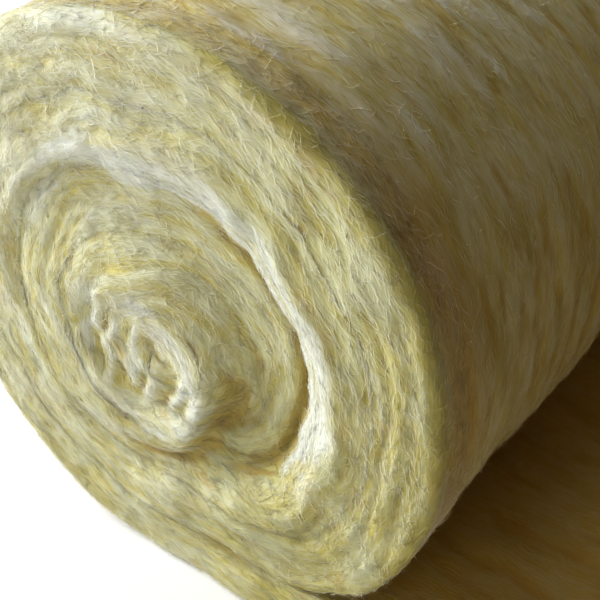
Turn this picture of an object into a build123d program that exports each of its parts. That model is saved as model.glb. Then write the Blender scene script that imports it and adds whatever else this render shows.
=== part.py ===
# Insulation roll: one wool blanket, wound up and partly rolled out on a level floor.
# Frame: millimetres, +Z up, roll axis along Y, loose tail towards +X.
# Origin: on the underside, below the roll's axis, at the middle of its width.
from build123d import *
from math import asin, cos, pi, sin, sqrt
import os

os.makedirs("parts", exist_ok=True)

# Blanket as sold, 5 m long: 3.8 m in the turns and the rest in the tail
blanket = 50.0  # thickness of the wool
roll_width = 1200.0  # along the roll's axis
tail_reach = 1190.0  # from below the roll's axis to the loose edge

# Roll as it lies, round over the tail and a little fuller on the other side
roll_height = 500.0
set_back = 12.0  # how far from the axis the half circles away from the tail are struck
slack = 57.0  # pitch of the turns above the core, where they lie loose
side_pitch = 52.0  # pitch of the turns on the side over the tail
sag = 8.0  # what each further turn is pressed together below the core
turns = 5  # half turns on each side, counted from the floor to the core

# Shape of a half turn over the tail: a wide arc, then a tighter one at its foot
spread = 1.12  # wide arc against half the height that it spans
foot = 0.45  # tight arc against the wide one

# Cut edges and the seam between the turns
rim_softness = 12.0
seam_gap = 4.0
seam_depth = 24.0
crotch = 4.0  # rounding where the last turn leaves the tail
eye_radius = 9.0  # what stays open at the start of the winding

# Middle turns of the photographed end, which stand back behind the rim and the core
dish_depth = 26.0
dish_inner = 84.0
dish_outer = 150.0
dish_height = 228.0  # of its middle above the floor


def underside(turn):
    """Height of the boundary below a turn, pressed together towards the core."""
    return turn * blanket - sag * max(turn - 1, 0) * max(turn - 2, 0) / 2


def crown(turn):
    """Height of the boundary above a turn."""
    return roll_height - turn * slack


def loaded_side(turn):
    """Distance from the axis to a turn's boundary on the side over the tail."""
    return roll_height / 2 - turn * side_pitch


def left_half(turn, inset):
    """Half circle from the underside of a turn to its crown, away from the tail."""
    low = underside(turn) + inset
    high = crown(turn) - inset
    reach = -set_back - (high - low) / 2
    ThreePointArc((-set_back, low), (reach, (low + high) / 2), (-set_back, high))


def foot_arc(turn, inset):
    """Middle, radius and upper angle of the tight arc at the foot of a half turn."""
    high = crown(turn) - inset
    low = underside(turn + 1) + inset
    wide = spread * (high - low) / 2
    tight = foot * wide
    dip = asin((high - wide - low - tight) / (wide - tight))
    across = loaded_side(turn) - inset - wide + (wide - tight) * cos(dip)
    return across, low + tight, tight, dip


def right_half(turn, inset, end_angle=pi / 2):
    """Crown, wide arc and foot arc of a half turn over the tail, down to an angle."""
    high = crown(turn) - inset
    wide = spread * (high - underside(turn + 1) - inset) / 2
    across = loaded_side(turn) - inset - wide
    foot_x, foot_z, tight, dip = foot_arc(turn, inset)
    rise = (pi / 2 - dip) / 2
    middle = (dip + end_angle) / 2
    join = (foot_x + tight * cos(dip), foot_z - tight * sin(dip))
    Line((-set_back, high), (across, high))
    ThreePointArc((across, high), (across + wide * cos(rise), high - wide + wide * sin(rise)), join)
    ThreePointArc(
        join,
        (foot_x + tight * cos(middle), foot_z - tight * sin(middle)),
        (foot_x + tight * cos(end_angle), foot_z - tight * sin(end_angle)),
    )


def seam_side(inset):
    """One side of the seam, from the crotch at the tail inwards to the core."""
    for turn in range(1, turns):
        left_half(turn, inset)
        right_half(turn, inset)
        floor_line = underside(turn + 1) + inset
        Line((foot_arc(turn, inset)[0], floor_line), (-set_back, floor_line))


# Where the last turn leaves the tail, a small arc touches its foot and the tail's top
foot_x, foot_z, foot_radius, foot_dip = foot_arc(0, 0)
crotch_x = foot_x + 2 * sqrt(foot_radius * crotch)
crotch_angle = asin((foot_radius - crotch) / (foot_radius + crotch))
crotch_top = (foot_x + foot_radius * cos(crotch_angle), foot_z - foot_radius * sin(crotch_angle))
crotch_turn = (pi / 2 - crotch_angle) / 2
crotch_middle = (crotch_x - crotch * cos(crotch_turn), blanket + crotch - crotch * sin(crotch_turn))

near_end = -roll_width / 2
far_end = roll_width / 2
core_turn = turns - 1
eye_x = (loaded_side(core_turn) - set_back - (crown(core_turn) - underside(core_turn)) / 2) / 2
eye_z = (crown(core_turn) + underside(turns)) / 2

# One blanket: the wound turns and the tail are the same piece of wool
with BuildPart() as wool_blanket:
    with BuildSketch(Plane.XZ.offset(near_end)) as outline:
        with BuildLine():
            left_half(0, 0)
            right_half(0, 0, crotch_angle)
            ThreePointArc(crotch_top, crotch_middle, (crotch_x, blanket))
            Line((crotch_x, blanket), (tail_reach, blanket))
            Line((tail_reach, blanket), (tail_reach, 0))
            Line((tail_reach, 0), (-set_back, 0))
        make_face()
    extrude(amount=roll_width)

    # Soft rims round both cut ends and along the loose edge of the tail
    rims = wool_blanket.edges().filter_by(GeomType.LINE).filter_by(Axis.Y).sort_by(Axis.X)[-2:]
    rims += wool_blanket.faces().sort_by(Axis.Y)[0].edges()
    rims += wool_blanket.faces().sort_by(Axis.Y)[-1].edges()
    fillet(rims, radius=rim_softness)

    # Turns of the photographed end that stand back between the rim and the core
    with BuildSketch(Plane.YZ.offset(-set_back)) as dish:
        with Locations((near_end, dish_height + (dish_inner + dish_outer) / 2)):
            Ellipse(dish_depth, (dish_outer - dish_inner) / 2)
    revolve(axis=Axis((-set_back, 0, dish_height), (0, 1, 0)), mode=Mode.SUBTRACT)

    # Seam between the turns, which shows on both ends, and the eye where the winding starts
    for end_plane in (Plane.XZ.offset(-near_end - seam_depth), Plane.XZ.offset(-far_end)):
        with BuildSketch(end_plane) as seam:
            with BuildLine():
                Line((crotch_x, underside(1)), (-set_back, underside(1)))
                seam_side(0)
                Line((-set_back, underside(turns)), (-set_back, underside(turns) + seam_gap))
                seam_side(seam_gap)
                Line((-set_back, underside(1) + seam_gap), (crotch_x, underside(1) + seam_gap))
                Line((crotch_x, underside(1) + seam_gap), (crotch_x, underside(1)))
            make_face()
            with Locations((eye_x, eye_z)):
                Circle(eye_radius)
        extrude(amount=seam_depth, mode=Mode.SUBTRACT)

wool_blanket.part.label = "wool_blanket"
export_step(wool_blanket.part, "parts/wool_blanket.step")
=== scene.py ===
"""Insulation roll: cut edges, outer skin and loose fibres of one wound wool blanket.

Everything is in metres in the part's own frame: +Z up, the roll's axis along Y, the
photographed end at -Y, and the loose tail on the floor towards +X.
"""
from __future__ import annotations

import logging
import math
from dataclasses import dataclass, replace
from enum import Enum
from typing import Any

import bpy
import numpy as np
from mathutils import Matrix, Vector

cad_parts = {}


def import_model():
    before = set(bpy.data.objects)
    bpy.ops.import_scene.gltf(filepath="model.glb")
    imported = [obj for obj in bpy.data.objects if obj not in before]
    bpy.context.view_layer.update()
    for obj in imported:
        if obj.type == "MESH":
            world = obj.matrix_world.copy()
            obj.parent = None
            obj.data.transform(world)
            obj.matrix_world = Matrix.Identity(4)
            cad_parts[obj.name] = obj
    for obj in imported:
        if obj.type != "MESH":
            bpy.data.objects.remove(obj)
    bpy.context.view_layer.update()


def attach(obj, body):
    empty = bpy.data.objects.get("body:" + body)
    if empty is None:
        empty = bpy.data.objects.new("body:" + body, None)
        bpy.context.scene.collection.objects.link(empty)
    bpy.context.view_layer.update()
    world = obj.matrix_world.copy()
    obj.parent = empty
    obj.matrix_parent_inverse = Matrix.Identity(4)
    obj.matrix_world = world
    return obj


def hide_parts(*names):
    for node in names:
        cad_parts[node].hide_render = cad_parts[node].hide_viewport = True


LOG = logging.getLogger("insulation_roll")
NODE = "wool_blanket"
BODY = "root"
LOWEST = 0.0005  # metres above the floor, below which no wool reaches

Array = np.ndarray
Pair = tuple[float, float]
Triple = tuple[float, float, float]


def smooth_step(low: float, high: float, value: Array) -> Array:
    """Rise from 0 at low to 1 at high with level ends.

    Args:
        low: Where the rise starts.
        high: Where it ends; may be below low for a fall.
        value: Where to read it.

    Returns:
        3 s^2 - 2 s^3, with s the clamped share of the way from low to high.
    """
    share = np.clip((value - low) / (high - low), 0.0, 1.0)
    return share * share * (3.0 - 2.0 * share)


def bell(value: Array, middle: float, width: float) -> Array:
    """e to the power of -s^2, with s the distance from the middle in widths."""
    return np.exp(-(((value - middle) / width) ** 2))


def polar(section: Array, middle: Pair) -> tuple[Array, Array]:
    """Distances of points from a middle, and headings in radians from +X towards +Z."""
    offset = section - np.array(middle)
    return np.hypot(offset[..., 0], offset[..., 1]), np.arctan2(offset[..., 1], offset[..., 0])


def run_along(line: Array) -> Array:
    """Length of a line of points, from its start to each of them."""
    steps = np.linalg.norm(np.diff(line, axis=0), axis=1)
    return np.concatenate([[0.0], np.cumsum(steps)])


@dataclass(frozen=True)
class Grain:
    """Random field over a plane that comes out the same on every run."""

    seed: int
    cells: int = 251

    def at(self, x: Array, y: Array) -> Array:
        """Read the field.

        Gradient noise: each lattice corner has a random slope, and the four slopes
        around a point are blended by smooth steps.

        Args:
            x: First coordinate, in lattice cells.
            y: Second coordinate, in lattice cells.

        Returns:
            Values between about -1 and 1.
        """
        angle = np.random.default_rng(self.seed).uniform(0.0, math.tau, (self.cells, self.cells))
        x, y = np.broadcast_arrays(x, y)
        left, low = np.floor(x), np.floor(y)
        along, up = x - left, y - low
        ease_along, ease_up = smooth_step(0.0, 1.0, along), smooth_step(0.0, 1.0, up)
        column, row = left.astype(np.int64), low.astype(np.int64)

        def corner(step_x: int, step_y: int) -> Array:
            """Height at each point of the slope at one corner of its cell."""
            turn = angle[(column + step_x) % self.cells, (row + step_y) % self.cells]
            return np.cos(turn) * (along - step_x) + np.sin(turn) * (up - step_y)

        lower = corner(0, 0) * (1.0 - ease_along) + corner(1, 0) * ease_along
        upper = corner(0, 1) * (1.0 - ease_along) + corner(1, 1) * ease_along
        return 1.5 * (lower * (1.0 - ease_up) + upper * ease_up)

    def layered(self, x: Array, y: Array, layers: int = 3, fade: float = 0.5) -> Array:
        """Sum the field at doubling fineness and fading strength."""
        total = np.zeros(np.broadcast(x, y).shape)
        for layer in range(layers):
            scale = 2.0**layer
            total += fade**layer * self.at(x * scale + 17.3 * layer, y * scale - 9.1 * layer)
        return total


@dataclass(frozen=True)
class Winding:
    """Section of the wound blanket, with the same values as the part's source.

    A place in the blanket is (turn, depth): turn is 0 where the roll first leaves the
    floor, grows by 1 each time round towards the core, and is negative in the tail;
    depth is 0 on the outer side and 1 on the inner side of the wool.
    """

    thickness: float = 0.050
    height: float = 0.500
    set_back: float = 0.012
    slack: float = 0.057
    side_pitch: float = 0.052
    sag: float = 0.008
    spread: float = 1.12
    foot: float = 0.45
    crotch: float = 0.004
    tail_reach: float = 1.190
    soft: float = 0.012  # rounding of the loose edge
    half_width: float = 0.600
    turns: int = 5
    tail_start: float = 6.0  # lay coordinate of the tail's top under the axis
    heart: Pair = (-0.009, 0.230)
    heart_size: float = 0.10
    low_from: float = 0.6  # turn after which the last turn comes down on the tail
    stages: Triple = (0.04, 0.74, 0.86)  # shares of the right half where its run and arcs end

    def underside(self, turn: Array) -> Array:
        """Height of a boundary below the core."""
        return turn * self.thickness - self.sag * np.maximum(turn - 1, 0) * np.maximum(turn - 2, 0) / 2

    def crown(self, turn: Array) -> Array:
        """Height of a boundary above the core."""
        return self.height - turn * self.slack

    def foot_arc(self, turn: Array) -> tuple[Array, Array, Array, Array, Array, Array]:
        """Wide and tight arcs of a half turn over the tail.

        Args:
            turn: Whole turns counted from the floor.

        Returns:
            The wide arc's middle x and radius, the tight arc's middle x, z and radius,
            and the angle below level at which they join.
        """
        high = self.crown(turn)
        low = self.underside(turn + 1)
        wide = self.spread * (high - low) / 2
        tight = self.foot * wide
        dip = np.arcsin((high - wide - low - tight) / (wide - tight))
        across = self.height / 2 - turn * self.side_pitch - wide
        return across, wide, across + (wide - tight) * np.cos(dip), low + tight, tight, dip

    def boundary(self, place: Array) -> Array:
        """Points of the spiral that parts one turn from the next.

        From the underside a half circle goes up to the crown; then come a level run, a
        wide arc, a tighter foot arc and a level run back under the core.

        Args:
            place: Turns counted from the floor, with fractions.

        Returns:
            An array of x and z.
        """
        turn = np.clip(np.floor(place), 0, self.turns - 1)
        part = place - turn
        low, high = self.underside(turn), self.crown(turn)
        swing = math.pi * np.clip(part * 2.0, 0.0, 1.0)
        radius = (high - low) / 2
        across, wide, foot_x, foot_z, tight, dip = self.foot_arc(turn)
        share = np.clip(part * 2.0 - 1.0, 0.0, 1.0)
        ends = (0.0, *self.stages, 1.0)
        run, wide_part, tight_part, back = (
            np.clip((share - start) / (end - start), 0.0, 1.0) for start, end in zip(ends, ends[1:])
        )
        wide_turn = math.pi / 2 - (math.pi / 2 + dip) * wide_part
        tight_turn = -dip - (math.pi / 2 - dip) * tight_part
        stretches = (
            (-self.set_back - radius * np.sin(swing), (high + low) / 2 - radius * np.cos(swing)),
            (-self.set_back + (across + self.set_back) * run, high),
            (across + wide * np.cos(wide_turn), high - wide + wide * np.sin(wide_turn)),
            (foot_x + tight * np.cos(tight_turn), foot_z + tight * np.sin(tight_turn)),
            (foot_x + (-self.set_back - foot_x) * back, self.underside(turn + 1)),
        )
        within = [part < 0.5, *(share <= end for end in self.stages)]
        return np.stack([np.select(within, axis[:-1], axis[-1]) for axis in zip(*stretches)], -1)

    def point(self, place: Array, depth: Array | float) -> Array:
        """Place in the section of a turn and a depth through the wool.

        The straight mix of the boundaries on both sides. In the last turn the inner one
        closes on the heart of the winding; in the tail they are the floor and a level.

        Args:
            place: Turns, negative in the tail, where -1 is the loose edge.
            depth: Share of the way from the outer to the inner side.

        Returns:
            An array of x and z.
        """
        place, depth = np.broadcast_arrays(place, depth)
        outer = self.boundary(np.maximum(place, 0.0))
        inner = self.boundary(np.clip(place + 1.0, 0.0, self.turns))
        heart = np.array(self.heart)
        closing = smooth_step(self.turns - 1.0, self.turns - 0.7, place)[..., None]
        shrunk = heart + self.heart_size * (outer - heart)
        inner = inner * (1.0 - closing) + shrunk * closing
        wound = outer * (1.0 - depth[..., None]) + inner * depth[..., None]
        tail_x = -self.set_back - place * (self.tail_reach + self.set_back)
        tail = np.stack([tail_x, self.thickness * depth], -1)
        return np.where((place < 0.0)[..., None], tail, wound)

    def lengths(self) -> tuple[Array, Array]:
        """Turns, and the length of wool from the loose edge to each, along its middle."""
        tail = np.linspace(-1.0, 0.0, 200, endpoint=False)
        place = np.concatenate([tail, np.linspace(0.0, self.turns, 6000)])
        return place, run_along(self.point(place, 0.5))

    def open_until(self) -> Pair:
        """Turns on the roll's outer side and on the tail's upper side where the crotch lies."""
        arc, land = self.crotch_point()
        place = np.linspace(self.low_from, 1.0, 2000)
        free = place[self.boundary(place)[:, 1] > arc[0, 1]]
        return float(free[-1]), -(land + self.set_back) / (self.tail_reach + self.set_back)

    def crotch_point(self) -> tuple[Array, float]:
        """Arc that joins the last turn's foot to the tail's top, and where it lands."""
        _, _, foot_x, _, tight, _ = (float(value) for value in self.foot_arc(np.float64(0)))
        land = foot_x + 2 * math.sqrt(tight * self.crotch)
        lean = math.asin((tight - self.crotch) / (tight + self.crotch))
        turn = np.linspace(math.pi - lean, 1.5 * math.pi, 7)
        x = land + self.crotch * np.cos(turn)
        z = self.thickness + self.crotch * (1 + np.sin(turn))
        return np.stack([x, z], -1), land


class End(Enum):
    """Which end of the roll a cut edge is on; the value is the sign of y there."""

    PHOTOGRAPHED = -1
    FAR = 1


@dataclass
class Mesh:
    """Points, faces and the two point attributes that the wool's finish reads."""

    points: Array
    faces: list[Array]
    lay: Array
    painted_shading: Array

    def place(self, name: str, finish: bpy.types.Material) -> None:
        """Put the mesh into the scene as one piece of the blanket.

        Args:
            name: The piece's name.
            finish: Its material.
        """
        mesh = bpy.data.meshes.new(name)
        corners = np.concatenate([block.ravel() for block in self.faces]).astype(np.int32)
        sizes = np.concatenate([np.full(len(block), block.shape[1]) for block in self.faces])
        starts = np.concatenate([[0], np.cumsum(sizes)[:-1]]).astype(np.int32)
        mesh.vertices.add(len(self.points))
        mesh.vertices.foreach_set("co", self.points.astype(np.float32).ravel())
        mesh.loops.add(len(corners))
        mesh.loops.foreach_set("vertex_index", corners)
        mesh.polygons.add(len(sizes))
        mesh.polygons.foreach_set("loop_start", starts)
        mesh.polygons.foreach_set("use_smooth", np.ones(len(sizes), dtype=bool))
        mesh.update(calc_edges=True)
        mesh.set_sharp_from_angle(angle=math.radians(60.0))
        for key, kind, entry, values in (
            ("lay", "FLOAT_VECTOR", "vector", self.lay),
            ("painted_shading", "FLOAT", "value", self.painted_shading),
        ):
            attribute = mesh.attributes.new(key, kind, "POINT")
            attribute.data.foreach_set(entry, values.astype(np.float32).ravel())
        mesh.materials.append(finish)
        piece = put(name, mesh)
        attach(piece, BODY)
        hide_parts(NODE)
        LOG.info("%s: %d triangles", name, int((sizes - 2).sum()))


@dataclass
class Nap:
    """A grid of surface points, to which loose fibres can be laid."""

    points: Array  # rows along the lay, columns across it
    lay: Array
    painted_shading: Array
    opened: Array  # true where the surface is open to view
    normal_sign: float = 1.0  # turns the grid's normals outwards

    def sample(self, row: Array, column: Array) -> tuple[Array, Array, Array, Array, Array]:
        """Read the surface between its grid points.

        Args:
            row: Row numbers with fractions.
            column: Column numbers with fractions.

        Returns:
            Points, directions along the lay and outward normals, by straight mixes of
            the four grid points around each place, and the lay coordinates and the
            painted light and shade of the first of the four.
        """
        rows, columns = self.points.shape[:2]
        base_row = np.clip(np.floor(row).astype(int), 0, rows - 2)
        base_column = np.clip(np.floor(column).astype(int), 0, columns - 2)
        up, side = (row - base_row)[:, None], (column - base_column)[:, None]
        corners = [self.points[base_row + i, base_column + j] for i in (0, 1) for j in (0, 1)]
        along = (corners[2] - corners[0]) * (1 - side) + (corners[3] - corners[1]) * side
        across = (corners[1] - corners[0]) * (1 - up) + (corners[3] - corners[2]) * up
        point = corners[0] + up * (corners[2] - corners[0]) + side * (corners[1] - corners[0])
        point = point + up * side * (corners[3] - corners[2] - corners[1] + corners[0])
        normal = unit(np.cross(along, across)) * self.normal_sign
        first = (base_row, base_column)
        return point, unit(along), normal, self.lay[first], self.painted_shading[first]

    def make(self, name: str, faces: list[Array], finish: bpy.types.Material) -> Nap:
        """Make the surface a piece of the blanket, and hand it back for fibres to lie on."""
        mesh = Mesh(self.points.reshape(-1, 3), faces, self.lay.reshape(-1, 3), self.painted_shading.ravel())
        mesh.place(name, finish)
        return self


def unit(vectors: Array) -> Array:
    """Scale vectors to length 1."""
    return vectors / np.maximum(np.linalg.norm(vectors, axis=-1, keepdims=True), 1e-12)


def grid_faces(rows: int, columns: int, flip: bool = False, ring: bool = False) -> Array:
    """Quads between the points of a grid that are numbered row by row.

    Args:
        rows: Number of rows.
        columns: Number of columns.
        flip: Whether the faces point the other way.
        ring: Whether the last column joins the first.

    Returns:
        Four point numbers for each quad.
    """
    row = np.arange(rows - 1)[:, None] * columns
    column = np.arange(columns if ring else columns - 1)[None, :]
    after = (column + 1) % columns
    corners = (row + column, row + after, row + columns + after, row + columns + column)
    quads = np.stack(np.broadcast_arrays(*corners), -1).reshape(-1, 4)
    return quads[:, ::-1] if flip else quads


def softened(values: Array, reach: int) -> Array:
    """Average over a square of grid points, with the borders repeated."""
    padded = np.pad(values, reach, mode="edge")
    size = 2 * reach + 1
    total = np.cumsum(np.pad(padded, ((1, 0), (0, 0))), axis=0)
    total = (total[size:] - total[:-size]) / size
    total = np.cumsum(np.pad(total, ((0, 0), (1, 0))), axis=1)
    return (total[:, size:] - total[:, :-size]) / size


@dataclass(frozen=True)
class OuterRelief:
    """Slow waves and laid streaks of the blanket's outer side."""

    wave: float = 0.0045  # metres, height of the waves
    streak: float = 0.0022  # metres, height of the ridges
    crotch: Pair = (0.151, 0.050)
    fading: Pair = (1.150, 1.180)  # x over which it fades to the loose edge

    def at(self, around: Array, along: Array, section: Array) -> Array:
        """Height above the plain skin.

        Waves a hand wide, and ridges nearly five times as long round the roll as across
        it. Both die out on the floor and in the crotch over the tail, and all but die
        out at the loose edge.

        Args:
            around: Metres round the roll.
            along: Metres along its axis.
            section: Points in the section, which give where it dies out.

        Returns:
            Metres outwards.
        """
        drift = 0.02 * Grain(11).at(around / 0.25, along / 0.20)
        waves = Grain(12).layered(around / 0.21, along / 0.13, 2)
        ridges = Grain(13).layered(around / 0.085, (along + drift) / 0.018, 3, 0.6)
        apart, _ = polar(section, self.crotch)
        free = smooth_step(0.0, 0.02, section[..., 1]) * smooth_step(0.0, 0.05, apart)
        free = free * (1.0 - 0.8 * smooth_step(*self.fading, section[..., 0]))
        return free * (self.wave * waves + self.streak * ridges)


@dataclass(frozen=True)
class Dish:
    """Forms of the photographed end, each in metres into the roll or out of it."""

    ring: float = 0.025  # the ring round the core, on the side over the tail
    ring_behind: float = 0.006  # the ring on the other side
    lean: float = 0.012  # how far the lip leans in
    crease: float = 0.006  # at the foot of the lip
    ridge: float = 0.003  # along the lip
    gap: float = 0.004  # round the lobe of the core
    crest: float = 0.002  # along the lobe's edge
    lobe: float = 0.002  # the whole lobe
    eye: float = 0.006  # the dip in the core
    tuft: float = 0.004  # the loose tuft on the lip


@dataclass(frozen=True)
class Bearings:
    """Where points of the photographed end lie by the lobe of the core and the lip."""

    heading: Array  # radians from +X, round the lobe's middle
    distance: Array  # metres from the lobe's middle
    rank: Array  # turns counted inwards, with the depth through the wool
    past: Array  # turns beyond the drop from the lip to the ring
    steep: Array  # share by which the lobe's wall is steep
    section: Array  # the points themselves


@dataclass
class CutEdge:
    """One cut edge of the blanket, wound into the roll's end and run out along the tail."""

    winding: Winding
    end: End
    step: float  # metres between points along the wool
    columns: int  # points across the wool
    relief: OuterRelief = OuterRelief()
    dish: Dish = Dish()
    skirt: tuple[float, ...] = (0.016, 0.024, 0.033, 0.0424, 0.0430)  # how far in its rows lie
    tuck: float = 0.006  # how far the last row goes under the outer side
    rim: float = 0.010  # rounding of the outer rim
    valley: float = 0.015  # half the width of the soft valley between two turns
    valley_depth: float = 0.0065
    waver: float = 0.0045  # how far the seams wander
    closing: Pair = (0.0088, 0.0212)  # metres shut round the heart, and metres drawn in beyond
    streak: float = 0.0011  # metres, height of the laid streaks
    sheet: float = 0.0022  # metres, height of the broader sheets
    lump: float = 0.0021  # metres, height of the lumps
    fold: float = 0.0023  # metres, height of the folds in the core
    lobe_middle: Pair = (-0.029, 0.210)
    lobe_radius: float = 0.078
    drop_at: float = 2.22  # turns, where the lip drops to the ring round the core
    tuft_middle: Pair = (0.082, 0.383)
    tuft_radius: float = 0.009
    eye_middle: Pair = (-0.032, 0.213)
    eye_tilt: float = -0.44  # radians from level
    eye_reach: Pair = (0.066, 0.041)

    def places(self) -> Array:
        """Turns of the grid's rows, evenly spaced along the wool."""
        turn, length = self.winding.lengths()
        tail_length = float(np.interp(0.0, turn, length))
        coarse = np.arange(0.0, tail_length, self.step * 2.2)
        fine = np.arange(tail_length, length[-1], self.step)
        return np.interp(np.concatenate([coarse, fine, [length[-1]]]), length, turn)

    def section_at(self, place: Array, depth: Array) -> Array:
        """Points in the section, drawn aside inside the roll so that the seams waver.

        Near the heart they are drawn in, so that the wool closes over the eye, and at the
        loose edge they follow its rounding.

        Args:
            place: Turns.
            depth: Share through the wool.

        Returns:
            Points in the section.
        """
        section = self.winding.point(place, depth)
        x, z = section[..., 0], section[..., 1]
        past = np.clip((x - self.winding.tail_reach) / self.winding.soft + 1.0, 0.0, 1.0)
        cut = self.winding.soft * (1.0 - np.sqrt(1.0 - past**2))
        z = z + (0.5 - z / self.winding.thickness) * 2.0 * cut
        section = np.stack([x, z], -1)
        free = smooth_step(0.3, 1.0, np.floor(place) + depth)
        aside = np.stack([Grain(seed).layered(x / 0.06, z / 0.06, 2) for seed in (41, 42)], -1)
        heart = np.array(self.winding.heart)
        apart, _ = polar(section, self.winding.heart)
        shut, beyond = self.closing
        drawn = np.clip((apart - shut) * (shut + beyond) / beyond, 0.0003, None)
        closed = np.where(apart < shut + beyond, drawn, apart)
        section = heart + (section - heart) * (closed / apart)[..., None]
        return section + self.waver * free[..., None] * aside

    def carry(self, place: Array, section: Array) -> Array:
        """Turns added low on the right, so that ranks meet where one turn passes into the next."""
        _, angle = polar(section, (-self.winding.set_back, self.winding.height / 2))
        second_half = (place > 0.0) & (place - np.floor(place) > 0.5)
        return smooth_step(-0.30, -0.5 * math.pi, angle) * second_half

    def bearings(self, place: Array, depth: Array, section: Array) -> Bearings:
        """Find out where points lie by the core and by the lip, whose drop wavers round the roll."""
        distance, heading = polar(section, self.lobe_middle)
        rank = np.floor(np.maximum(place, 0.0)) + depth
        jitter = 0.10 * Grain(32).layered(heading * 3.0, np.zeros_like(heading), 3)
        past = rank + jitter + self.carry(place, section) - self.drop_at
        steep = (0.5 + 0.5 * np.cos(heading + 0.60)) ** 3
        return Bearings(heading, distance, rank, past, steep, section)

    def eye(self, section: Array) -> Array:
        """Share of the long tilted dip in the core, 1 inside it and 0 outside."""
        offset = section - np.array(self.eye_middle)
        cos, sin = math.cos(self.eye_tilt), math.sin(self.eye_tilt)
        ahead = (offset[..., 0] * cos + offset[..., 1] * sin) / self.eye_reach[0]
        aside = (offset[..., 1] * cos - offset[..., 0] * sin) / self.eye_reach[1]
        return smooth_step(1.25, 0.75, np.hypot(ahead, aside))

    def tufted(self, section: Array) -> Array:
        """Share of the loose tuft that stands out of the lip."""
        apart = np.linalg.norm(section - np.array(self.tuft_middle), axis=-1)
        return bell(apart, 0.0, self.tuft_radius)

    def set_back(self, on: Bearings) -> Array:
        """How far the cut edge stands behind the plane of the end.

        At the photographed end the turns inside the second seam stand back, most on the
        side over the tail, and the round lobe of the core comes forward again.

        Args:
            on: The bearings of the points.

        Returns:
            Metres into the roll.
        """
        if self.end is End.FAR:
            return np.zeros(on.rank.shape)
        dish, radius = self.dish, self.lobe_radius
        facing = 0.5 + 0.5 * np.cos(on.heading + 0.05)
        facing = facing * (0.35 + 0.65 * smooth_step(-1.1, 0.0, on.heading))
        slope = 0.10 + 0.68 * (1.0 - facing) ** 1.5
        inside = smooth_step(0.0, 1.0, (on.past + slope) / (2.0 * slope))
        lean = dish.lean * facing * np.clip((on.past + 0.72) / 0.65, 0.0, 1.0) ** 2
        ring = dish.ring_behind + (dish.ring - dish.ring_behind) * facing**1.3
        crease = dish.crease * bell(on.past, 0.17, 0.09) * facing**3
        ridge = dish.ridge * bell(on.past, -0.66, 0.22)
        ridge = ridge * smooth_step(-1.0, 0.3, np.cos(on.heading - 0.1))

        wobble = 0.005 * Grain(31).layered(on.heading * 1.6 + 7.0, np.full_like(on.heading, 3.0), 2)
        distance = on.distance + wobble
        lobe = smooth_step(radius + 0.070 - 0.064 * on.steep, radius - 0.004, distance)
        gap = bell(distance - radius, 0.013, 0.008) * on.steep
        crest = bell(distance - radius, -0.010, 0.008) * on.steep
        eye = dish.eye * self.eye(on.section) - dish.tuft * self.tufted(on.section)
        fall = lean + np.maximum(ring - lean, 0.0) * inside
        back = (fall + crease) * (1.0 - lobe) - ridge + dish.gap * gap - dish.crest * crest
        return back + eye - dish.lobe * lobe

    def rounding(self, gap: Array) -> Array:
        """Fall of the round rim at a distance from the blanket's side."""
        share = np.clip(1.0 - gap / self.rim, 0.0, 1.0)
        return self.rim * (1.0 - np.sqrt(1.0 - 0.999 * share**2))

    def seam(self, gap: Array) -> Array:
        """Fall of the soft valley at a distance from where two turns meet."""
        return self.valley_depth * np.clip(1.0 - (gap / self.valley) ** 2, 0.0, 1.0) ** 2

    def pale(self, on: Bearings) -> Array:
        """Share of painted light on the photographed end: painted highlight along the lip round the ring,
        on the core and on the top.

        Args:
            on: The bearings of the points.

        Returns:
            Shares, mostly up to 1, and below 0 where shade is painted: on the shaded wall beside the core
            and at the foot of the lip.
        """
        if self.end is End.FAR:
            return np.zeros(on.rank.shape)
        radius = self.lobe_radius
        facing = 0.5 + 0.5 * np.cos(on.heading)
        tufts = 0.85 + 0.5 * Grain(34).layered(on.heading * 5.0, on.rank * 4.0, 3)
        # painted highlight along the lip round the ring, in tufts
        lip = smooth_step(-0.80, -0.42, on.past) * smooth_step(0.0, -0.07, on.past)
        lip = lip * (0.20 + 0.80 * smooth_step(-0.75, 0.40, on.heading))
        lip = lip * smooth_step(2.9, 1.4, on.heading) * tufts
        # painted light on the upper part of the end
        upper = smooth_step(-0.12, 0.20, 0.8 * (on.section[..., 1] - 0.245) - 0.5 * on.section[..., 0])
        # painted shade at the foot of the lip
        under = smooth_step(-0.05, 0.02, on.past) * smooth_step(0.50, 0.12, on.past) * facing
        under = under * smooth_step(-1.0, -0.2, on.heading)
        # painted light on the core and its edge, painted shade on the wall beside it; the tuft is paler
        core = smooth_step(radius, radius - 0.012, on.distance)
        edge = bell(on.distance - radius, -0.014, 0.012) * facing
        wall = bell(on.distance - radius, 0.010, 0.012) * on.steep
        pale = np.maximum(np.maximum(1.35 * lip, 0.30 * core + 0.40 * edge), 0.40 * upper)
        return pale + 0.4 * self.tufted(on.section) - 0.6 * wall - 0.55 * under

    def crumple(self, section: Array) -> tuple[Array, Array]:
        """Share of the wool that is crumpled at the core, and its folds, bent waves 25 mm apart."""
        x, z = section[..., 0], section[..., 1]
        share = self.eye(section) ** 1.5
        if self.end is End.FAR:
            share = share * 0.5
        warp = 2.6 * Grain(26).layered(x / 0.040, z / 0.034, 2)
        swell = 0.55 + 0.9 * Grain(27).at(x / 0.026, z / 0.022)
        creases = 0.5 * Grain(28).layered(x / 0.020, z / 0.020, 2)
        return share, np.sin((x - 0.25 * z) / 0.0040 + warp) * swell + creases

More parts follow.
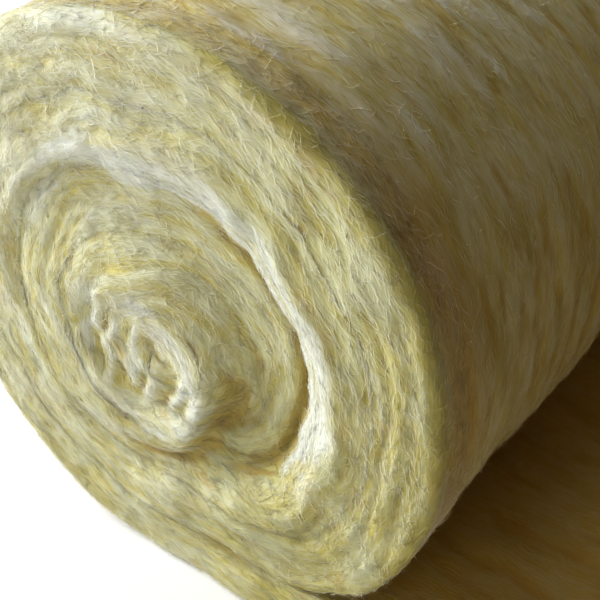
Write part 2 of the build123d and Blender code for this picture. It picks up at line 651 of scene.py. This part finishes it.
    def surface(self) -> Nap:
        """Work out the grid of the cut edge with its skirts.

        Across the wool: up one skirt, over the rounded edges and the face between
        them, and down the other skirt. The face carries seams that open and close,
        laid streaks and, in the core, folds.

        Returns:
            The surface, with a row for each step along the wool.
        """
        winding = self.winding
        depth = 0.5 - 0.5 * np.cos(np.linspace(0.0, math.pi, self.columns))[None, :]
        place, depth = np.broadcast_arrays(self.places()[:, None], depth)
        run = np.interp(place, *winding.lengths())
        section = self.section_at(place, depth)
        x, z = section[..., 0], section[..., 1]
        through = winding.point(place, 0.0) - winding.point(place, 1.0)
        thick, outward = np.linalg.norm(through, axis=-1), unit(through)

        roll_end, tail_end = winding.open_until()
        outside, inner_open = place < roll_end, place < tail_end
        outer_free = smooth_step(roll_end + 0.02, roll_end - 0.03, place)
        inner_free = smooth_step(tail_end + 0.02, tail_end - 0.03, place)
        from_outer, from_inner = depth * thick, (1.0 - depth) * thick
        on = self.bearings(place, depth, section)
        pressed = 0.9 * bell(on.rank, 2.0, 0.3) * smooth_step(0.0, 0.05, x)
        bite = 0.12 + 0.85 * Grain(21).layered(x / 0.10, z / 0.10, 2)
        bite = np.clip(bite, 0.03, 1.00) * (1.0 - pressed)
        back = np.zeros(place.shape)
        for free, gap in ((outer_free, from_outer), (inner_free, from_inner)):
            back = back + free * self.rounding(gap) + (1.0 - free) * self.seam(gap) * bite
        back = back + self.set_back(on)

        travel = from_outer + np.maximum(place - 1.0, 0.0) * winding.thickness
        drift = 0.010 * Grain(22).at(run / 0.16, travel / 0.05)
        streaks = Grain(23).layered(run / 0.070, (travel + drift) / 0.0075, 2, 0.6)
        sheets = Grain(24).layered(run / 0.110, (travel + drift) / 0.019, 2)
        lumps = Grain(25).layered(x / 0.055, z / 0.055, 3)
        nearest = np.minimum(from_outer + 0.1 * outer_free, from_inner + 0.1 * inner_free)
        apart = smooth_step(0.0, 0.012, nearest)
        back = back + apart * (self.streak * streaks + self.sheet * sheets) + self.lump * lumps
        core, folds = self.crumple(section)
        back = back + self.fold * core * folds

        sign = -float(self.end.value)
        end_y = -sign * winding.half_width
        around, upward = self.outer_length(place), winding.tail_start + x
        sides = ((0, 1, around, outside, from_outer), (-1, -1, upward, inner_open, from_inner))
        shift = np.zeros(place.shape)
        for _, way, coordinate, opened, gap in sides:
            rise = self.relief.at(coordinate, np.full_like(coordinate, end_y), section)
            shift = shift + way * np.where(opened, smooth_step(0.020, 0.0, gap), 0.0) * rise
        section = section + outward * shift[..., None]
        face = np.stack([section[..., 0], end_y + sign * back, section[..., 1]], -1)
        lay = np.stack([run, travel, np.zeros(run.shape)], -1)
        # Painted shade: darker where the face lies deeper than around it, where two turns meet and in the
        # core's folds; the painted highlights and shade of pale() are taken off after.
        cavity = np.clip((back - softened(back, 4)) / 0.004, -1.0, 1.0)
        painted_shading = 0.5 + 0.5 * cavity + 0.4 * bite * (1.0 - apart) + 0.6 * core * folds
        pale = self.pale(self.bearings(place, depth, section))
        painted_shading = np.clip(painted_shading, 0.0, 1.0) - pale * (0.9 + 0.8 * sheets)

        grids = [[face], [lay], [painted_shading], [np.ones(painted_shading.shape, dtype=bool)]]
        number = np.arange(1, len(self.skirt) + 1)
        for column, way, coordinate, opened, _ in sides:
            reach = np.maximum(back[:, column, None] + 0.004 * number, self.skirt)
            y = end_y + sign * reach
            edge = self.section_at(place[:, column], depth[:, column])[:, None]
            rise = self.relief.at(coordinate[:, column, None], y, edge)
            rise = rise - np.where(number == len(self.skirt), self.tuck, 0.0)
            push = way * np.where(opened[:, column, None], rise, 0.0)
            corner = edge + outward[:, column, None] * push[..., None]
            skin = smooth_step(0.008, 0.022, reach)
            laid = (run[:, column, None], travel[:, column, None] - way * reach, skin)
            added = (
                np.stack([corner[..., 0], y, corner[..., 1]], -1),
                np.stack(np.broadcast_arrays(*laid), -1),
                # painted shade: the skirts hidden inside the roll are darker
                np.broadcast_to(np.where(opened[:, column, None], 0.5, 0.9), reach.shape),
                np.broadcast_to(opened[:, column, None], reach.shape),
            )
            for grid, block in zip(grids, added):
                grid.insert(0 if column == 0 else len(grid), block[:, ::-way])
        points, lay, painted_shading, opened = (np.concatenate(grid, axis=1) for grid in grids)
        points[..., 2] = np.maximum(points[..., 2], LOWEST)
        return Nap(points, lay, painted_shading, opened, -sign)

    def outer_length(self, place: Array) -> Array:
        """Metres along the blanket's outer side from where the roll leaves the floor."""
        turn = np.linspace(0.0, 1.0, 1500)
        run = run_along(self.winding.boundary(turn))
        tail = (self.winding.tail_reach + self.winding.set_back) * np.minimum(place, 0.0)
        return np.interp(np.clip(place, 0.0, 1.0), turn, run) + tail

    def build(self, name: str, finish: bpy.types.Material) -> Nap:
        """Make the piece, and hand its surface back for fibres to lie on."""
        nap = self.surface()
        rows, columns = nap.painted_shading.shape
        far = self.end is End.FAR
        faces = [grid_faces(rows, columns, flip=far, ring=True)]
        first = np.arange(columns)[None, :]
        last = first + (rows - 1) * columns
        faces += [first if far else first[:, ::-1], last[:, ::-1] if far else last]
        return nap.make(name, faces, finish)


@dataclass
class OuterSkin:
    """Outer side of the last turn, or the two sides of the tail, between the cut edges."""

    winding: Winding
    spacing: float
    relief: OuterRelief = OuterRelief()
    inset: float = 0.042  # where it meets the skirts of the cut edges
    crown_highlight: float = 0.80  # how far painted highlight whitens the crown

    def roll_line(self) -> tuple[Array, Array]:
        """Section from the underside round the roll to the crotch over the tail.

        Returns:
            Points, and the length of wool from the loose edge to each.
        """
        arc, _ = self.winding.crotch_point()
        place = np.linspace(0.0, 0.999, 3000)
        line = self.winding.boundary(place)
        keep = (place < self.winding.low_from) | (line[:, 1] > arc[0, 1])
        turn, length = self.winding.lengths()
        wool = np.interp(place[keep], turn, length)
        steps = 0.002 * np.arange(1, len(arc) + 1)
        return np.concatenate([line[keep], arc]), np.concatenate([wool, wool[-1] + steps])

    def tail_line(self) -> tuple[Array, Array]:
        """Section from the crotch along the tail's top, round its end and back below.

        Returns:
            Points, and the length of wool from the loose edge to each.
        """
        winding = self.winding
        _, land = winding.crotch_point()
        soft, end = winding.soft, winding.tail_reach
        start = end - soft
        top = np.stack([np.linspace(land, start, 400), np.full(400, winding.thickness)], -1)
        turn = np.linspace(math.pi / 2, 0.0, 9)
        upper = np.stack([start + soft * np.cos(turn), winding.thickness - soft + soft * np.sin(turn)], -1)
        turn = -turn[::-1]
        lower = np.stack([start + soft * np.cos(turn), soft + soft * np.sin(turn)], -1)
        below = np.stack([np.linspace(start, -winding.set_back, 60), np.zeros(60)], -1)
        line = np.concatenate([top, upper[1:], lower, below[1:]])
        return line, end - line[:, 0]

    def build(self, name: str, line: Array, wool: Array, start: float, finish: bpy.types.Material) -> Nap:
        """Sweep a section along the roll's width.

        The section is cut into even steps, and each point moves along the section's
        normal by the relief.

        Args:
            name: The piece's name.
            line: Section points.
            wool: Length of wool from the loose edge to each.
            start: Metres along the outer side at which the section starts.
            finish: Its material.

        Returns:
            The surface, for fibres to lie on.
        """
        run = run_along(line)
        around = np.linspace(0.0, run[-1], int(run[-1] / self.spacing))
        section = np.stack([np.interp(around, run, line[:, i]) for i in (0, 1)], -1)
        tangent = unit(np.gradient(section, axis=0))
        outward = np.stack([-tangent[:, 1], tangent[:, 0]], -1)
        reach = self.winding.half_width - self.inset
        along = np.linspace(-reach, reach, int(2 * reach / self.spacing))
        relief = self.relief.at((around + start)[:, None], along[None, :], section[:, None, :])
        moved = section[:, None, :] + outward[:, None, :] * relief[..., None]
        points = np.stack([moved[..., 0], np.broadcast_to(along, relief.shape), moved[..., 1]], -1)
        points[..., 2] = np.maximum(points[..., 2], LOWEST)
        across = -self.winding.half_width - along
        if start > 0.0:  # the tail's top adjoins the inner side of the cut edge
            across = self.winding.thickness - across
        wool_at = np.interp(around, run, wool)[:, None]
        lay = np.stack(np.broadcast_arrays(wool_at, across[None, :], 1.0), -1)
        # painted shade in the dips of the relief
        painted_shading = np.clip(0.5 - 0.5 * (relief - softened(relief, 3)) / 0.0015, 0.0, 1.0)
        # painted highlight on the crown, in patches
        crown_highlight = 0.5 + Grain(14).layered(around[:, None] / 0.06, along[None, :] / 0.05, 3)
        crown = self.crown_highlight * smooth_step(0.36, 0.50, points[..., 2])
        painted_shading = painted_shading - crown * np.clip(crown_highlight, 0.0, 1.0)

        rows, columns = relief.shape
        first, last = np.arange(columns), np.arange(columns) + (rows - 1) * columns
        faces = [grid_faces(rows, columns, flip=True), np.concatenate([last, first[::-1]])[None, :]]
        rim = np.arange(rows) * columns
        faces += [rim[None, :], (rim + columns - 1)[None, ::-1]]
        nap = Nap(points, lay, painted_shading, np.ones(painted_shading.shape, dtype=bool))
        return nap.make(name, faces, finish)


@dataclass
class Fibres:
    """Loose strands laid over a surface, each a closed spindle of six triangles."""

    seed: int
    count: int
    length: Pair = (0.009, 0.027)
    radius: Pair = (0.00012, 0.00032)
    stray: float = 0.32  # spread of the headings, in radians
    wild: float = 0.18  # share of the strands that lie at any heading
    lift: float = 0.0011  # how far tips may stand off the surface
    lowest: float = 0.0004  # metres above the floor, below which no strand reaches

    def build(self, name: str, nap: Nap, finish: bpy.types.Material) -> None:
        """Lay the strands and make the piece.

        Each strand is a ring of three points with a tip at each end. The ring lies on
        the surface; the tips follow the lay, bend to a side and lift off at random.

        Args:
            name: The piece's name.
            nap: The surface.
            finish: The strands' material.
        """
        dice = np.random.default_rng(self.seed)
        rows, columns = nap.points.shape[:2]
        area = np.cross(np.gradient(nap.points, axis=0), np.gradient(nap.points, axis=1))
        chance = (np.linalg.norm(area, axis=-1) * nap.opened).ravel()
        picked = dice.choice(rows * columns, self.count, p=chance / chance.sum())
        row = np.clip(picked // columns + dice.uniform(-0.5, 0.5, self.count), 0, rows - 1.001)
        column = np.clip(picked % columns + dice.uniform(-0.5, 0.5, self.count), 0, columns - 1.001)
        root, along, normal, lay, painted_shading = nap.sample(row, column)
        side = unit(np.cross(normal, along))
        heading = dice.normal(0.0, self.stray, self.count)
        loose = dice.random(self.count) < self.wild
        heading = np.where(loose, dice.uniform(-1.4, 1.4, self.count), heading)
        heading += 0.25 * Grain(self.seed + 90).at(lay[:, 0] / 0.05, lay[:, 1] / 0.03)
        forward = along * np.cos(heading)[:, None] + side * np.sin(heading)[:, None]
        sideways = unit(np.cross(normal, forward))
        span = dice.uniform(*self.length, self.count) * dice.uniform(0.6, 1.0, self.count)
        girth = dice.uniform(*self.radius, self.count)
        bend = dice.normal(0.0, 0.11, (2, self.count)) * span
        rise = np.abs(dice.normal(0.0, 1.0, (2, self.count))) * self.lift * (0.4 + span / self.length[1])
        middle = root + normal * (girth + dice.uniform(0.0, 0.0008, self.count))[:, None]
        tips = [
            middle
            + forward * (way * span / 2)[:, None]
            + sideways * bend[tip][:, None]
            + normal * rise[tip][:, None]
            for tip, way in enumerate((1.0, -1.0))
        ]
        ring = [
            middle + girth[:, None] * (sideways * math.cos(turn) + normal * math.sin(turn))
            for turn in np.arange(3) * math.tau / 3.0
        ]
        points = np.stack(ring + tips, 1)
        points[..., 2] = np.maximum(points[..., 2], self.lowest)
        base = np.arange(self.count)[:, None, None] * 5
        pattern = np.array([[0, 1, 3], [1, 2, 3], [2, 0, 3], [1, 0, 4], [2, 1, 4], [0, 2, 4]])
        faces = (base + pattern[None]).reshape(-1, 3)
        mesh = Mesh(points.reshape(-1, 3), [faces], np.repeat(lay, 5, axis=0), np.repeat(painted_shading, 5))
        mesh.place(name, finish)


def put(name: str, data: Any) -> bpy.types.Object:
    """Put a mesh, light or camera into the scene as an object."""
    thing = bpy.data.objects.new(name, data)
    bpy.context.scene.collection.objects.link(thing)
    return thing


class Flow:
    """A value in a node tree; arithmetic on it adds Math nodes."""

    def __init__(self, shader: Shader, socket: Any) -> None:
        """Wrap an output socket."""
        self.shader = shader
        self.socket = socket

    def _math(self, operation: str, *values: Any) -> Flow:
        """Add one Math node."""
        return self.shader.node("ShaderNodeMath", {"operation": operation}, dict(enumerate(values)))

    def __add__(self, other: Any) -> Flow:
        """Sum."""
        return self._math("ADD", self, other)

    __radd__ = __add__

    def __sub__(self, other: Any) -> Flow:
        """Difference."""
        return self._math("SUBTRACT", self, other)

    def __rsub__(self, other: Any) -> Flow:
        """Difference the other way round."""
        return self._math("SUBTRACT", other, self)

    def __mul__(self, other: Any) -> Flow:
        """Product."""
        return self._math("MULTIPLY", self, other)

    __rmul__ = __mul__

    def rise(self, low: float, high: float) -> Flow:
        """Smooth step from 0 at low to 1 at high."""
        settings = {"interpolation_type": "SMOOTHSTEP", "clamp": True}
        return self.shader.node("ShaderNodeMapRange", settings, {0: self, 1: low, 2: high, 3: 0.0, 4: 1.0})


class Shader:
    """Node tree of one material."""

    def __init__(self, name: str) -> None:
        """Start an empty tree."""
        self.material = bpy.data.materials.new(name)
        self.material.use_nodes = True
        self.tree = self.material.node_tree
        self.tree.nodes.clear()

    def node(self, kind: str, settings: dict[str, Any], inputs: dict[Any, Any], output: Any = 0) -> Flow:
        """Add a node.

        Args:
            kind: The node's type.
            settings: Its properties, set first.
            inputs: Values or flows by socket name or number.
            output: The output socket to hand back.

        Returns:
            The output as a flow.
        """
        made = self.tree.nodes.new(kind)
        for key, value in settings.items():
            setattr(made, key, value)
        for key, value in inputs.items():
            if isinstance(value, Flow):
                self.tree.links.new(value.socket, made.inputs[key])
            else:
                made.inputs[key].default_value = value
        return Flow(self, None if output is None else made.outputs[output])

    def mix(self, share: Any, first: Any, second: Any, blend: str = "MIX") -> Flow:
        """Blend two colours."""
        first, second = ((*c, 1.0) if isinstance(c, tuple) else c for c in (first, second))
        settings = {"data_type": "RGBA", "blend_type": blend}
        return self.node("ShaderNodeMix", settings, {0: share, 6: first, 7: second}, 2)

    def axis(self, vector: Flow, name: str) -> Flow:
        """Take one coordinate of a vector."""
        return self.node("ShaderNodeSeparateXYZ", {}, {0: vector}, name)

    def vector(self, operation: str, first: Any, second: Any) -> Flow:
        """Reckon with two vectors."""
        return self.node("ShaderNodeVectorMath", {"operation": operation}, {0: first, 1: second})

    def finish(self, surface: Flow) -> bpy.types.Material:
        """Lead the surface to the output and hand the material back."""
        self.node("ShaderNodeOutputMaterial", {}, {"Surface": surface}, None)
        return self.material

    def streaks(self, lay: Flow, long: float, wide: float, detail: float, offset: float = 0.0) -> Flow:
        """Noise that is long along the lay and narrow across it."""
        scaled = self.vector("MULTIPLY", lay, (1.0 / long, 1.0 / wide, 0.0))
        shifted = self.vector("ADD", scaled, (offset, -offset, offset))
        inputs = {"Vector": shifted, "Scale": 1.0, "Detail": detail, "Roughness": 0.55}
        return self.node("ShaderNodeTexNoise", {"noise_dimensions": "3D"}, inputs)


class Strand(Enum):
    """What a wool finish is for."""

    BED = "bed"
    LOOSE = "loose"


@dataclass(frozen=True)
class WoolFinish:
    """Matt glass wool: streaks of straw, cream and white, with olive painted shade in the hollows and
    painted highlights on proud parts.
    """

    strand: Strand
    straw: Triple = (0.78, 0.68, 0.22)
    cream: Triple = (0.83, 0.81, 0.50)
    white: Triple = (0.90, 0.90, 0.69)
    # colour of the painted highlights on lips, core and crown
    highlight_white: Triple = (0.92, 0.93, 0.83)
    olive: Triple = (0.58, 0.49, 0.13)
    tan: Triple = (0.68, 0.44, 0.12)
    yellow: Triple = (0.80, 0.68, 0.15)
    cut_tint: Triple = (0.77, 0.77, 0.76)
    shaded_right_tint: Triple = (0.69, 0.68, 0.56)  # painted shade and warm reflected light on the cut edge over the tail
    skin_tint: Triple = (0.71, 0.63, 0.49)  # the outer side against the cut edge, partly its own browner colour, partly painted shade
    roughness: float = 0.9
    gloss: float = 0.15
    depth_tint: Triple = (1.0, 0.8, 0.35)  # how far each colour spreads inside
    bump: float = 0.75

    def material(self) -> bpy.types.Material:
        """Build the node tree.

        Broad soft streaks run from straw to cream. Over them come, one after another,
        olive and tan patches, whiter ones, fine streaks, painted shade in the hollows, a brown
        zone beside the rim and the yellow rim itself. Painted highlights make proud lips and the
        crown paler, the top of the outer side is painted lighter, and the right of the cut edge
        gets painted shade and warm reflected light. The blanket's outer side is browner than its
        cut edge, partly its own colour and partly painted shade.

        Returns:
            The finished material.
        """
        shader = Shader(f"glass_wool_{self.strand.value}")
        lay = shader.node("ShaderNodeAttribute", {"attribute_name": "lay"}, {}, "Vector")
        painted_shading = shader.node("ShaderNodeAttribute", {"attribute_name": "painted_shading"}, {}, "Fac")
        place = shader.node("ShaderNodeTexCoord", {}, {}, "Object")
        across, skin = shader.axis(lay, "Y"), shader.axis(lay, "Z")
        # the roll's top: painted light there, with whiter hair and less of the skin tint and brown zone
        top = shader.axis(place, "Z").rise(0.36, 0.50)
        # the right of the cut edge: painted shade and warm reflected light there, and the yellow rim band
        right = shader.axis(place, "X").rise(-0.02, 0.13)
        wander = shader.streaks(lay, 0.070, 0.040, 2.0, 3.1)
        push = shader.node("ShaderNodeCombineXYZ", {}, {"Y": (wander - 0.5) * (skin * 0.010 + 0.025)})
        laid = shader.vector("ADD", lay, push)
        broad = shader.streaks(laid, 0.070, 0.013, 3.0)
        patch = shader.streaks(lay, 0.075, 0.040, 4.0, 12.9)
        spot = shader.streaks(laid, 0.036, 0.015, 3.0, 21.3)
        bleach = shader.streaks(laid, 0.060, 0.030, 4.0, 33.9)
        # painted highlight where the painted shading falls below 0.4
        painted_highlight = (0.4 - painted_shading).rise(0.0, 0.9)
        values: dict[str, Any] = {"Roughness": self.roughness, "Specular IOR Level": self.gloss}
        values["Subsurface Radius"] = self.depth_tint
        layers: list[tuple[Flow, Any]] = [
            (patch.rise(0.48, 0.64) * (skin * top * 0.25 + skin * 0.20 + 0.45), self.olive),
            (spot.rise(0.58, 0.72) * 0.50, self.tan),
            (bleach.rise(0.50, 0.66) * 0.60, self.white),
            (painted_highlight * 0.90, self.highlight_white),
        ]
        if self.strand is Strand.BED:
            fine = shader.streaks(laid, 0.015, 0.0022, 3.0, 5.7)
            hair = shader.streaks(laid, 0.0090, 0.0008, 2.0, 9.4)
            layers += [
                ((1.0 - fine).rise(0.50, 0.74) * (skin * (top * 0.35 + 0.35) + 0.25), self.olive),
                (fine.rise(0.50, 0.72) * 0.50, self.white),
                (hair.rise(0.52, 0.70) * (skin * top * 0.30 + 0.50), self.white),
            ]
            skin = skin * (1.0 - hair.rise(0.50, 0.61) * top * 0.65)
            bump = {"Strength": self.bump, "Distance": 0.0020, "Height": fine * 0.5 + hair * 0.5}
            values["Normal"] = shader.node("ShaderNodeBump", {}, bump, "Normal")
            values |= {"Subsurface Weight": 0.25, "Subsurface Scale": 0.003}
        else:
            tone = shader.node("ShaderNodeTexWhiteNoise", {"noise_dimensions": "3D"}, {"Vector": lay})
            layers += [
                (tone.rise(0.50, 1.0) * 0.90, self.white),
                ((1.0 - tone).rise(0.60, 1.0) * 0.20, self.olive),
            ]
            skin = skin * (1.0 - tone.rise(0.60, 1.0) * (top * 0.45 + 0.20))
            values |= {"Subsurface Weight": 0.7, "Subsurface Scale": 0.008}
        layers += [
            # painted shade: olive and tan in hollows, seams and folds
            (painted_shading.rise(0.52, 0.95) * 0.80, shader.mix(spot, self.olive, self.tan)),
            (across.rise(-0.090, -0.030) * skin * (0.55 - top * 0.40), self.tan),
        ]
        band = across.rise(-0.013, -0.003) * (1.0 - across.rise(0.002, 0.010)) * right
        layers.append((band * 0.55, self.yellow))

        colour = shader.mix(broad.rise(0.36, 0.64), self.straw, self.cream)
        for share, tint in layers:
            colour = shader.mix(share, colour, tint)
        # painted shade and warm reflected light on the right of the cut edge, less under painted highlights
        cut_tint = shader.mix(right * (1.0 - painted_highlight * 0.8), self.cut_tint, self.shaded_right_tint)
        tint = shader.mix(skin, cut_tint, self.skin_tint)
        values["Base Color"] = shader.mix(1.0, colour, tint, "MULTIPLY")
        return shader.finish(shader.node("ShaderNodeBsdfPrincipled", {}, values))


@dataclass(frozen=True)
class Lamp:
    """Square soft light that faces the roll."""

    name: str
    place: Triple
    size: float  # metres
    power: float  # watts
    tint: Triple
    target: Triple = (0.0, -0.3, 0.2)

    def hang(self) -> None:
        """Put the light into the scene."""
        data = bpy.data.lights.new(self.name, "AREA")
        data.size = self.size
        data.energy = self.power
        data.color = self.tint
        lamp = put(self.name, data)
        lamp.location = self.place
        aim = Vector(self.target) - Vector(self.place)
        lamp.rotation_euler = aim.to_track_quat("-Z", "Y").to_euler()


@dataclass(frozen=True)
class Studio:
    """Pale floor, soft lights and the camera of the photograph."""

    winding: Winding
    focal_length: float = 66.05  # mm
    sensor: float = 36.0  # mm, its width
    frame: float = 600.0  # pixels, the photo's width
    looks_down: float = 34.73  # degrees below level
    turned: float = 36.14  # degrees from the roll's axis
    rim_pixel: Pair = (155.0, 340.7)  # middle of the near rim in the photo
    distance: float = 0.8575  # from the camera to the middle of the near rim
    rim_height: float = 0.245
    floor_reach: float = 12.0
    floor_tint: tuple[float, ...] = (0.92, 0.91, 0.89, 1.0)
    glow: tuple[float, ...] = (1.0, 0.75, 0.38, 1.0)  # of the surroundings
    glow_strength: float = 0.085
    lamps: tuple[Lamp, ...] = (
        Lamp("window", (-2.88, -1.5, 2.0), 1.8, 208.0, (0.95, 1.0, 1.12)),
        Lamp("bounce", (-0.2, -2.9, 1.3), 1.4, 14.5, (1.0, 0.97, 0.76)),
        Lamp("sky", (-0.8, 0.7, 2.6), 1.8, 26.0, (0.90, 1.0, 1.20)),
    )

    def camera(self) -> None:
        """Place the camera so that the middle of the near rim falls on its pixel.

        The camera's axes come from its two angles, and its place is the rim's middle
        less the ray through the pixel, scaled to the distance.
        """
        down, turn = math.radians(self.looks_down), math.radians(self.turned)
        ahead = Vector((-math.sin(turn) * math.cos(down), math.cos(turn) * math.cos(down), -math.sin(down)))
        right = Vector((math.cos(turn), math.sin(turn), 0.0))
        above = right.cross(ahead)
        focal = self.focal_length / self.sensor * self.frame
        aside, below = ((pixel - self.frame / 2) / focal for pixel in self.rim_pixel)
        ray = ahead + right * aside - above * below
        rim = Vector((0.0, -self.winding.half_width, self.rim_height))
        data = bpy.data.cameras.new("camera")
        data.lens = self.focal_length
        data.sensor_width = self.sensor
        data.clip_start = 0.01
        camera = put("camera", data)
        place = Matrix((right, above, -ahead)).transposed().to_4x4()
        place.translation = rim - ray.normalized() * self.distance
        camera.matrix_world = place
        bpy.context.scene.camera = camera

    def floor(self) -> None:
        """Lay a pale floor that is far wider than the object."""
        mesh = bpy.data.meshes.new("floor")
        far = self.floor_reach
        corners = [(-far, -far, 0.0), (far, -far, 0.0), (far, far, 0.0), (-far, far, 0.0)]
        mesh.from_pydata(corners, [], [(0, 1, 2, 3)])
        piece = put("floor", mesh)
        shader = Shader("pale_floor")
        values = {"Base Color": self.floor_tint, "Roughness": 0.9}
        surface = shader.node("ShaderNodeBsdfPrincipled", {}, values)
        mesh.materials.append(shader.finish(surface))

    def build(self) -> None:
        """Make the floor, the lights, the surroundings and the camera."""
        self.floor()
        for lamp in self.lamps:
            lamp.hang()
        world = bpy.data.worlds.new("surroundings")
        world.use_nodes = True
        background = world.node_tree.nodes["Background"].inputs
        background["Color"].default_value = self.glow
        background["Strength"].default_value = self.glow_strength
        bpy.context.scene.world = world
        bpy.context.scene.view_settings.view_transform = "Standard"
        self.camera()


def main() -> None:
    """Build the roll, its fibres and the studio."""
    logging.basicConfig(level=logging.INFO, format="%(message)s")
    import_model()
    winding = Winding()
    bed = WoolFinish(Strand.BED).material()
    loose = WoolFinish(Strand.LOOSE).material()

    near = CutEdge(winding, End.PHOTOGRAPHED, step=0.0021, columns=25).build("cut_edge_near", bed)
    far = CutEdge(winding, End.FAR, step=0.0050, columns=13).build("cut_edge_far", bed)
    skin = OuterSkin(winding, spacing=0.0060)
    roll = skin.build("roll_back", *skin.roll_line(), 0.0, bed)
    tail_skin = OuterSkin(winding, spacing=0.0090)
    _, land = winding.crotch_point()
    tail = tail_skin.build("tail_sides", *tail_skin.tail_line(), winding.tail_start + land, bed)

    Fibres(seed=101, count=24000).build("fibres_near_end_a", near, loose)
    Fibres(seed=102, count=22000, stray=0.5).build("fibres_near_end_b", near, loose)
    Fibres(seed=103, count=13000).build("fibres_far_end", far, loose)
    rough = Fibres(104, 30000, radius=(0.00012, 0.00027), stray=0.5, wild=0.20, lift=0.0014)
    rough.build("fibres_roll_back", roll, loose)
    replace(rough, seed=105, count=14000).build("fibres_tail", tail, loose)

    Studio(winding).build()


if __name__ == "__main__":
    main()
